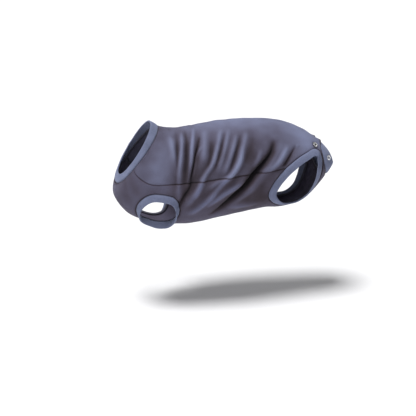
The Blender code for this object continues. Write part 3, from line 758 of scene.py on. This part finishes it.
# Neck and tail bindings
# Each is a band of 1x1 rib, folded double with the fold at the free edge and sewn to the panels
# with the cut edges turned inside. The tail band is wide and carries the lower snap rings.
RIB_PITCH = 0.0019
RIB_RELIEF = 0.00022
RIB_STATIONS = 4
RIB_SHARES = (0.0, 0.07, 0.14, 0.22, 0.36, 0.50, 0.64, 0.78, 0.90, 1.0)
PUFF = 0.0005
SEWN_SHARE = 0.55  # of the full thickness, at the sewn edge
FULL_FROM = 0.2  # of the width, where the band reaches its full thickness
FOLDED_EDGE = 0.8
FOLDED_EDGE_ANGLES = (25.0, 60.0, 90.0, 120.0, 155.0)
COLLAR_GIRTH = 0.295
TAIL_GIRTH = 0.190
IN_FRONT = (-0.5, 0.0, 0.0)
BEHIND = (0.8, 0.0, 0.0)


def loop_direction(points):
    """Direction along a closed loop at each of its points."""
    return unit(np.roll(points, -1, axis=0) - np.roll(points, 1, axis=0))


def between(rows, share):
    """The quadratic through a first, middle and last row, read at a share of the band's width."""
    first = 2.0 * (share - 0.5) * (share - 1.0)
    middle = -4.0 * share * (share - 1.0)
    last = 2.0 * share * (share - 0.5)
    return rows[0] * first + rows[1] * middle + rows[2] * last


def band_face(rows, normals, rib, face):
    """Rows of points over the band's outer face, 1, or its inner face, -1, from the sewn edge on."""
    width = np.linalg.norm(rows[2] - rows[0], axis=1).mean()
    points = []
    for share in RIB_SHARES:
        centre, normal = between(rows, share), unit(between(normals, share))
        full = np.sin(0.5 * np.pi * min(1.0, share / FULL_FROM))
        swell = 0.5 * RIB * (SEWN_SHARE + (1.0 - SEWN_SHARE) * full)
        if face > 0.0:
            swell += PUFF * np.sin(np.pi * share)
        dip = ROLLED_EDGE * np.exp(-(share * width / ROLL_WIDTH) ** 2)
        points.append(centre + normal * (0.5 * JERSEY + face * (swell + rib) - dip))
    return points


def rib_band(name, rows, normals):
    """A closed rib band through three rows of points, from the sewn edge to the folded edge."""
    rib = RIB_RELIEF * np.cos(2.0 * np.pi * np.arange(len(rows[0])) / RIB_STATIONS)[:, None]
    outline = band_face(rows, normals, rib, 1.0)
    half = 0.5 * RIB
    normal = unit(normals[2])
    reach = unit(rows[2] - rows[1])
    for angle in np.radians(FOLDED_EDGE_ANGLES):
        away = normal * np.cos(angle) * (half + rib) + reach * np.sin(angle) * (FOLDED_EDGE * half + rib)
        outline.append(rows[2] + normal * 0.5 * JERSEY + away)
    outline += band_face(rows, normals, rib, -1.0)[::-1]
    return wrapped_grid(name, np.array(outline), True)


def loop_binding(name, edge_at, free, count):
    """A band that runs right round the suit, at the collar or at the tail hole."""
    turn = np.linspace(-1.0, 1.0, count, endpoint=False)
    edge = edge_at(turn)
    places = [edge + share * (free - edge) for share in (0.0, 0.5, 1.0)]
    return rib_band(name, [wrap(along, turn) for along in places], [outward(along, turn) for along in places])


def stations(length):
    """Points round a band of that length, a whole number of ribs."""
    return RIB_STATIONS * round(length / RIB_PITCH)


def rib_finish(name, dark, pale):
    """Rib knit: the same yarn as the jersey, paler, with coarser loops."""
    finish = bpy.data.materials.new(name)
    finish.use_nodes = True
    tree = finish.node_tree
    shader = tree.nodes["Principled BSDF"]
    place = add_node(tree, "TexCoord")
    fleck = add_node(tree, "TexNoise")
    fleck.inputs["Scale"].default_value = 700.0
    fleck.inputs["Detail"].default_value = 4.0
    tree.links.new(place.outputs["Object"], fleck.inputs["Vector"])
    patches = add_node(tree, "TexNoise")
    patches.inputs["Scale"].default_value = 60.0
    tree.links.new(place.outputs["Object"], patches.inputs["Vector"])
    shade = maths(tree, "ADD", maths(tree, "MULTIPLY", fleck.outputs["Fac"], 0.6),
                  maths(tree, "MULTIPLY", patches.outputs["Fac"], 0.4))
    ramp = add_node(tree, "ValToRGB")
    ramp.color_ramp.elements[0].position = 0.30
    ramp.color_ramp.elements[0].color = (*dark, 1.0)
    ramp.color_ramp.elements[1].position = 0.70
    ramp.color_ramp.elements[1].color = (*pale, 1.0)
    tree.links.new(shade, ramp.inputs[0])
    tree.links.new(ramp.outputs[0], shader.inputs["Base Color"])
    bump = add_node(tree, "Bump")
    bump.inputs["Strength"].default_value = 0.35
    bump.inputs["Distance"].default_value = 0.0003
    tree.links.new(fleck.outputs["Fac"], bump.inputs["Height"])
    tree.links.new(bump.outputs[0], shader.inputs["Normal"])
    rough = maths(tree, "MULTIPLY_ADD", patches.outputs["Fac"], 0.10, 0.82)
    tree.links.new(rough, shader.inputs["Roughness"])
    shader.inputs["Sheen Weight"].default_value = 0.35
    shader.inputs["Sheen Roughness"].default_value = 0.45
    shader.inputs["Sheen Tint"].default_value = (0.80, 0.84, 1.0, 1.0)
    return finish


rib_cloth = rib_finish("rib", (0.102, 0.118, 0.195), (0.175, 0.198, 0.315))


STITCH_LENGTH = 0.0023
STITCH_PITCH = 0.0031
STITCH_RADIUS = 0.00020
STITCH_INSET = 0.0028


def stitch_row(name, along, turn, away_from):
    """A row of short stitches on the panels, beside a closed seam and away from a point."""
    line = wrap(along, turn, JERSEY)
    outs = outward(along, turn)
    point = line.mean(axis=0) if away_from is None else np.array(away_from)
    beside = unit(np.cross(outs, loop_direction(line)))
    beside *= np.sign((beside * (line - point)).sum())
    row = line + beside * STITCH_INSET
    gaps = np.linalg.norm(np.roll(row, -1, axis=0) - row, axis=1)
    reach = np.concatenate(((0.0,), np.cumsum(gaps)))
    number = round(reach[-1] / STITCH_PITCH)
    picks = np.linspace(0.0, reach[-1], number, endpoint=False)
    looped = np.vstack((row, row[:1]))
    spots = np.stack([np.interp(picks, reach, looped[:, axis]) for axis in range(3)], axis=1)
    ups = np.vstack((outs, outs[:1]))
    ups = unit(np.stack([np.interp(picks, reach, ups[:, axis]) for axis in range(3)], axis=1))
    ways = loop_direction(spots)
    sides = unit(np.cross(ups, ways))
    deselect()
    bpy.ops.mesh.primitive_ico_sphere_add(subdivisions=1, radius=1.0)
    stitches = bpy.context.object
    stitches.name = name
    template = vertex_points(stitches.data)
    copies = stitches.modifiers.new("copies", "ARRAY")
    copies.count = number
    apply_modifiers(stitches)
    size = np.array((0.5 * STITCH_LENGTH, STITCH_RADIUS, STITCH_RADIUS))
    placed = spots[:, None, :] + (template * size) @ np.stack((ways, sides, ups), axis=1)
    place_vertices(stitches.data, placed.reshape(-1, 3))
    stitches.data.shade_smooth()
    stitches.data.materials.append(thread)
    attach(stitches, "root")
    return stitches


def finish_band(band, node, flat, along, turn, away_from=None):
    """Gives a binding its cloth, its overlocked seam inside and its row of stitches outside.

    The stitches lie away from the given point, or from the middle of the loop.
    """
    extras = [overlock(band.name + "_seam", along, turn, True),
              stitch_row(band.name + "_stitches", along, turn, away_from)]
    band.data.materials.append(rib_cloth)
    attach(band, "root")
    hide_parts(node)


def loop_seam(edge_at, length):
    turn = np.linspace(-1.0, 1.0, LOOP_STATIONS * round(length / LOOP_PITCH), endpoint=False)
    return edge_at(turn), turn


neck_band = loop_binding("neck_rib", collar_edge, 0.0, stations(COLLAR_GIRTH))
finish_band(neck_band, "neck_binding", (0.015, 0.300), *loop_seam(collar_edge, COLLAR_GIRTH), IN_FRONT)
tail_band = loop_binding("tail_rib", tail_edge, 1.0, stations(TAIL_GIRTH))
finish_band(tail_band, "tail_binding", (0.021, 0.200), *loop_seam(tail_edge, TAIL_GIRTH), BEHIND)

# Leg and armhole bindings
# The same folded rib, sewn round each leg hole and each armhole; the short cuffs hang towards
# the limb, the leg bands lie nearly flat on the thigh.
LEG_BAND = 0.013
CUFF_BAND = 0.013
LEG_RIM = 0.360
ARM_RIM = 0.225
Hang = namedtuple("Hang", "first last x y z")
ARM_HANG = Hang(0.50, 0.80, 0.0, 0.20, -1.0)
LEG_HANG = Hang(0.08, 0.25, 0.15, 0.25, -1.0)


def hole_binding(name, outline, side, width, hang):
    """A band on the edge of an armhole or leg hole, turning towards the limb's direction."""
    along = outline[:, 0]
    turn = outline[:, 1] * side
    edge = wrap(along, turn)
    normal = outward(along, turn)
    inward = np.cross(normal, loop_direction(edge)) * side
    middle = edge.mean(axis=0) - edge
    middle -= normal * (middle * normal).sum(axis=1)[:, None]
    inward *= np.sign((inward * middle).sum(axis=1))[:, None]
    reach = unit(inward + unit(middle))
    fall = np.array((hang.x, hang.y * side, hang.z))
    rows = [edge]
    for share in (hang.first, hang.last):
        rows.append(rows[-1] + unit(reach * (1.0 - share) + fall * share) * 0.5 * width)
    normals = [normal]
    for row, before in zip(rows[1:], rows[:-1]):
        across = unit(np.cross(loop_direction(row), row - before))
        across *= np.sign((across * normals[-1]).sum(axis=1))[:, None]
        normals.append(across)
    return rib_band(name, rows, normals)


def hole_seam(outline_at, length, side):
    outline = outline_at(LOOP_STATIONS * round(length / LOOP_PITCH))
    return outline[:, 0], outline[:, 1] * side


for side_name, side in (("left", -1.0), ("right", 1.0)):
    leg = hole_binding("leg_rib_" + side_name, leg_outline(stations(LEG_RIM)), side, LEG_BAND, LEG_HANG)
    finish_band(leg, "leg_binding_" + side_name, (0.013, 0.340), *hole_seam(leg_outline, LEG_RIM, side))
    cuff = hole_binding("cuff_rib_" + side_name, arm_outline(stations(ARM_RIM)), side, CUFF_BAND, ARM_HANG)
    finish_band(cuff, "armhole_binding_" + side_name, (0.013, 0.225), *hole_seam(arm_outline, ARM_RIM, side))

# Snap rings and their inner halves
# Open prong rings of nickel-plated steel, pressed through the cloth at the rear corners of the
# back panel and on the tail band, each riveted to a plain socket on the inner side.
metal = bpy.data.materials.new("snap_nickel")
metal.use_nodes = True
metal_tree = metal.node_tree
metal_shader = metal_tree.nodes["Principled BSDF"]
metal_shader.inputs["Metallic"].default_value = 1.0
metal_place = add_node(metal_tree, "TexCoord")
smears = add_node(metal_tree, "TexNoise")
smears.inputs["Scale"].default_value = 900.0
metal_tree.links.new(metal_place.outputs["Object"], smears.inputs["Vector"])
tone = add_node(metal_tree, "ValToRGB")
tone.color_ramp.elements[0].color = (0.74, 0.74, 0.76, 1.0)
tone.color_ramp.elements[1].color = (0.90, 0.90, 0.91, 1.0)
metal_tree.links.new(smears.outputs["Fac"], tone.inputs[0])
metal_tree.links.new(tone.outputs[0], metal_shader.inputs["Base Color"])
metal_tree.links.new(maths(metal_tree, "MULTIPLY_ADD", smears.outputs["Fac"], 0.25, 0.12),
                     metal_shader.inputs["Roughness"])

PRONGS = 5
PRONG_INSET = 1.7  # this and the next two in half widths of the ring's wire
PRONG_DROP = 0.1
PRONG_SIZE = 0.55
SNAP_RADIUS = 0.5 * SNAP_DIAMETER
SNAP_WIRE = 0.0024
SNAP_HEIGHT = 0.0015
SOCKET_RADIUS = 0.0040
SOCKET_HEIGHT = 0.0018
SOCKET_HOLE = 0.0019
SOCKET_LIP = 0.0005
SOCKET_BEVEL = 0.00014


def select_top(piece):
    """Selects the flat face that looks straight up, in edit mode."""
    bpy.ops.object.mode_set(mode="EDIT")
    bpy.ops.mesh.select_mode(type="FACE")
    bpy.ops.mesh.select_all(action="DESELECT")
    bpy.ops.object.mode_set(mode="OBJECT")
    for face in piece.data.polygons:
        face.select = face.normal.z > 0.99 and len(face.vertices) > 8
    bpy.ops.object.mode_set(mode="EDIT")


def snap_ring():
    """An open ring with its prongs' ends curled over its inner edge."""
    wire = 0.5 * SNAP_WIRE
    deselect()
    bpy.ops.mesh.primitive_torus_add(major_segments=72, minor_segments=24,
                                     major_radius=SNAP_RADIUS - wire, minor_radius=wire)
    ring = bpy.context.object
    bpy.ops.object.mode_set(mode="EDIT")
    reach = SNAP_RADIUS - PRONG_INSET * wire
    for way in np.linspace(0.0, 2.0 * np.pi, PRONGS, endpoint=False):
        place = (reach * np.cos(way), reach * np.sin(way), -PRONG_DROP * wire)
        bpy.ops.mesh.primitive_uv_sphere_add(segments=16, ring_count=10, radius=PRONG_SIZE * wire,
                                             location=place)
    bpy.ops.mesh.select_all(action="SELECT")
    bpy.ops.transform.resize(value=(1.0, 1.0, 0.5 * SNAP_HEIGHT / wire), center_override=(0.0, 0.0, 0.0))
    bpy.ops.object.mode_set(mode="OBJECT")
    return ring


def snap_socket():
    """A turned disc with a round well and the raised rim that grips the stud."""
    deselect()
    bpy.ops.mesh.primitive_cylinder_add(vertices=48, radius=SOCKET_RADIUS, depth=SOCKET_HEIGHT)
    socket = bpy.context.object
    select_top(socket)
    bpy.ops.mesh.inset(thickness=0.22 * SOCKET_RADIUS)
    bpy.ops.mesh.extrude_region_move(TRANSFORM_OT_translate={"value": (0.0, 0.0, -0.25 * SOCKET_HEIGHT)})
    bpy.ops.mesh.inset(thickness=0.78 * SOCKET_RADIUS - SOCKET_HOLE - SOCKET_LIP)
    bpy.ops.mesh.extrude_region_move(TRANSFORM_OT_translate={"value": (0.0, 0.0, 0.35 * SOCKET_HEIGHT)})
    bpy.ops.mesh.inset(thickness=SOCKET_LIP)
    bpy.ops.mesh.extrude_region_move(TRANSFORM_OT_translate={"value": (0.0, 0.0, -0.75 * SOCKET_HEIGHT)})
    bpy.ops.object.mode_set(mode="OBJECT")
    edges = socket.modifiers.new("edges", "BEVEL")
    edges.width = SOCKET_BEVEL
    edges.segments = 2
    apply_modifiers(socket)
    return socket


def seat_on_node(piece, node):
    """Moves a piece's mesh to the middle of its node and turns it to face out of the suit."""
    points = vertex_points(node.data)
    centre = points.mean(axis=0)
    axis = np.linalg.svd(points - centre, full_matrices=False)[2][2]
    outwards = centre - np.array((centre[0] - 0.04, 0.0, -0.070))
    facing = 1.0 if node.name.startswith("snap_ring") else -1.0
    axis *= np.sign(axis @ outwards) * facing
    turned = Vector(axis).to_track_quat("Z", "Y").to_matrix().to_4x4()
    piece.data.transform(Matrix.Translation(Vector(centre)) @ turned)


for level in ("upper", "lower"):
    for side_name in ("left", "right"):
        for make in (snap_ring, snap_socket):
            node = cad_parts[make.__name__ + "_" + level + "_" + side_name]
            piece = make()
            piece.name = make.__name__.replace("snap_", "nickel_") + "_" + level + "_" + side_name
            seat_on_node(piece, node)
            deselect()
            piece.select_set(True)
            bpy.context.view_layer.objects.active = piece
            bpy.ops.object.shade_smooth_by_angle(angle=np.radians(40.0))
            piece.data.materials.append(metal)
            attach(piece, "root")
            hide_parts(node.name)

# Floor, light and camera
# A plain pale floor under the suit, one large soft light above, fill from the front, and the
# camera at the photograph's angle.
FLOOR = -0.320
CAMERA_TURN = -14.0
CAMERA_RISE = 15.0
CAMERA_DISTANCE = 2.0
FRAME_WIDTH = 0.728
AIM = (0.085, 0.0, -0.070)
AIM_RIGHT = -0.0306
AIM_UP = -0.0753
SKY = 0.28
KEY_DIRECTION = (0.42, 0.22, -1.4)
LIGHT_AIM = (0.08, 0.0, -0.08)

deselect()
bpy.ops.mesh.primitive_plane_add(size=30.0, location=(0.0, 0.0, FLOOR))
floor = bpy.context.object
floor.name = "floor"
pale = bpy.data.materials.new("floor_white")
pale.use_nodes = True
pale.node_tree.nodes["Principled BSDF"].inputs["Base Color"].default_value = (0.86, 0.86, 0.87, 1.0)
pale.node_tree.nodes["Principled BSDF"].inputs["Roughness"].default_value = 0.9
floor.data.materials.append(pale)

world = bpy.data.worlds.new("studio")
world.use_nodes = True
seen = add_node(world.node_tree, "LightPath")
glow = maths(world.node_tree, "MULTIPLY_ADD", seen.outputs["Is Camera Ray"], 1.0 - SKY, SKY)
world.node_tree.links.new(glow, world.node_tree.nodes["Background"].inputs["Strength"])
world.node_tree.nodes["Background"].inputs["Color"].default_value = (1.0, 1.0, 1.0, 1.0)
bpy.context.scene.world = world


def studio_light(name, place, size, power):
    lamp = bpy.data.lights.new(name, "AREA")
    lamp.size = size
    lamp.energy = power
    light = bpy.data.objects.new(name, lamp)
    bpy.context.scene.collection.objects.link(light)
    light.location = place
    light.rotation_euler = (Vector(LIGHT_AIM) - Vector(place)).to_track_quat("-Z", "Y").to_euler()


sun = bpy.data.lights.new("key", "SUN")
sun.energy = 3.4
sun.angle = np.radians(22.0)
key = bpy.data.objects.new("key", sun)
bpy.context.scene.collection.objects.link(key)
key.rotation_euler = Vector(KEY_DIRECTION).to_track_quat("-Z", "Y").to_euler()
studio_light("front_light", (-0.9, -1.5, 0.7), 0.9, 3.0)

turn, rise = np.radians(CAMERA_TURN), np.radians(CAMERA_RISE)
back = Vector((np.sin(turn) * np.cos(rise), -np.cos(turn) * np.cos(rise), np.sin(rise)))
right = Vector((np.cos(turn), np.sin(turn), 0.0))
up = back.cross(right)
lens = bpy.data.cameras.new("camera")
lens.sensor_width = 36.0
lens.lens = 36.0 * CAMERA_DISTANCE / FRAME_WIDTH
camera = bpy.data.objects.new("camera", lens)
bpy.context.scene.collection.objects.link(camera)
camera.location = Vector(AIM) + back * CAMERA_DISTANCE
aimed = Vector(AIM) + right * AIM_RIGHT + up * AIM_UP
camera.rotation_euler = (aimed - camera.location).to_track_quat("-Z", "Y").to_euler()
bpy.context.scene.camera = camera
bpy.context.scene.view_settings.view_transform = "Standard"
